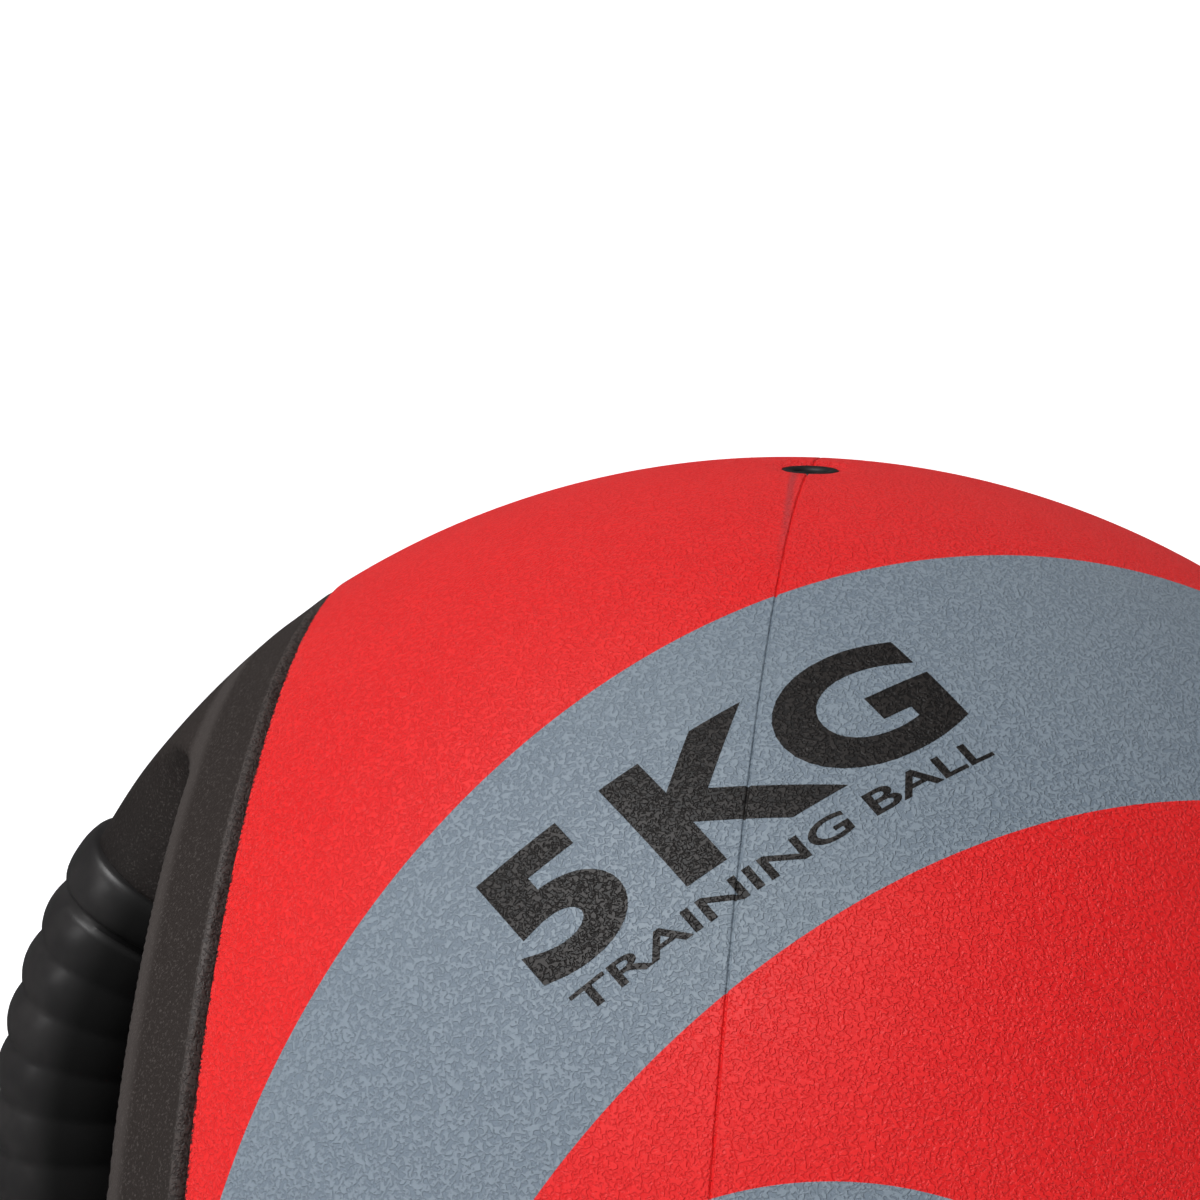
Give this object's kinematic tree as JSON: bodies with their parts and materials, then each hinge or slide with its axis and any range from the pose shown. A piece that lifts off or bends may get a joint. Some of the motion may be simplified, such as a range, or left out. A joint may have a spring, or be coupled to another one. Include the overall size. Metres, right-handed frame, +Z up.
{
  "type": "medicine ball",
  "caption": "Weighted rubber exercise ball with a moulded ribbed hand grip recessed into each side and an air valve on top.",
  "frame": {"origin": "centre of the ball", "axes": "+Z up through the air valve, +X through the right grip, -Y to the front"},
  "size_m": [0.2232, 0.23, 0.2298],
  "materials": {
    "red_rubber": "satin, fine leather grain",
    "grey_rubber": "satin, fine leather grain",
    "frame_rubber": "matt, fine sanded grain",
    "grip_rubber": "smooth, slightly glossy",
    "inner_rubber": "plain moulded",
    "valve_rubber": "matt",
    "core_steel": "plain drawn"
  },
  "bodies": {
    "root": {"red_cover_left": "red_rubber", "red_cover_right": "red_rubber", "ring_inlay_front_left": "grey_rubber", "ring_inlay_front_right_upper": "grey_rubber", "ring_inlay_front_right_lower": "grey_rubber", "ring_inlay_back_right": "grey_rubber", "ring_inlay_back_left_upper": "grey_rubber", "ring_inlay_back_left_lower": "grey_rubber", "disc_inlay_front_left": "grey_rubber", "disc_inlay_front_right": "grey_rubber", "disc_inlay_back_left": "grey_rubber", "disc_inlay_back_right": "grey_rubber", "carcass_left": "inner_rubber", "carcass_right": "inner_rubber", "side_frame_left": "frame_rubber", "side_frame_right": "frame_rubber", "grip_sleeve_left": "grip_rubber", "grip_sleeve_right": "grip_rubber", "grip_core_left": "core_steel", "grip_core_right": "core_steel", "core_anchors_left": "core_steel", "core_anchors_right": "core_steel", "bladder": "inner_rubber", "valve_patch": "inner_rubber", "valve_housing": "valve_rubber", "valve_core": "inner_rubber"}
  },
  "joints": []
}
